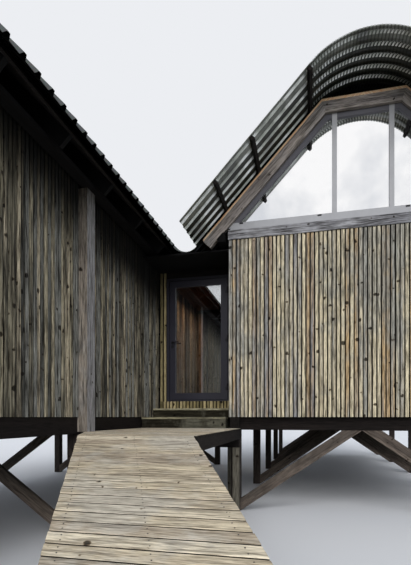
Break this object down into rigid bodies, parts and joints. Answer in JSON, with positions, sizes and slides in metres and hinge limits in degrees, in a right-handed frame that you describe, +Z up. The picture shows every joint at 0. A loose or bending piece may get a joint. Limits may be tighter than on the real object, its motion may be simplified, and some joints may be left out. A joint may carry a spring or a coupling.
{
  "type": "stilt house",
  "caption": "Timber house of two stilted volumes under one wave of ribbed metal roof, joined by a recessed glazed link with a door and reached by a sloping boardwalk.",
  "frame": {"origin": "on the ground, under the middle of the whole house with its boardwalk", "axes": "+Z up, +Y along the volumes into the depth, away from the boardwalk's foot, +X to the right when facing the door"},
  "size_m": [10.0018, 19.207, 6.129],
  "materials": {
    "cladding": "weathered upright battens, silver grey to straw",
    "grey_timber": "weathered grey timber",
    "brown_timber": "rough sawn, brown grey",
    "dark_timber": "dark stained, rough sawn",
    "boards": "bleached walking boards",
    "plywood": "natural pine boards",
    "roof_sheet": "dull galvanised ribbed sheet",
    "soffit": "black board",
    "door_metal": "satin anthracite coating",
    "door_iron": "satin black",
    "glass": "clear reflecting glass"
  },
  "bodies": {
    "house": {"stilts": "brown_timber", "stilt_braces": "brown_timber", "edge_beams": "dark_timber", "floor_beams": "dark_timber", "floor_joists": "dark_timber", "floors": "plywood", "gable_walls": "cladding", "outer_walls": "cladding", "right_inner_wall_front": "cladding", "right_inner_wall_back": "cladding", "left_inner_wall_front": "cladding", "left_inner_wall_back": "cladding", "doorway_infills": "cladding", "gable_fascias": "grey_timber", "window_frames": "grey_timber", "window_glass": "glass", "rafters": "brown_timber", "collars": "brown_timber", "eaves_beams": "dark_timber", "slope_linings": "plywood", "top_linings": "plywood", "purlins": "dark_timber", "roof_slopes": "roof_sheet", "ridge_sheets": "roof_sheet", "valley_sheet": "roof_sheet", "link_jambs": "cladding", "link_lintels": "dark_timber", "link_ceiling": "soffit", "door_frame": "door_metal", "frame_hinges": "door_iron", "link_back_frame": "door_metal", "link_back_glass": "glass", "corner_post": "grey_timber", "landing_deck": "boards", "landing_joists": "dark_timber", "landing_bearers": "dark_timber", "deck_posts": "brown_timber", "ramp_deck": "boards", "ramp_bearers": "dark_timber", "lower_step": "boards", "upper_step": "boards"},
    "door": {"door_leaf": "door_metal", "door_glass": "glass", "door_handle": "door_iron", "door_hinges": "door_iron"}
  },
  "joints": [
    {"name": "door_swing", "type": "hinge", "parent": "house", "child": "door", "pos_m": [0.516, -1.39054, 2.7], "axis": [0, 0, 1], "range_deg": [0, 90]}
  ]
}
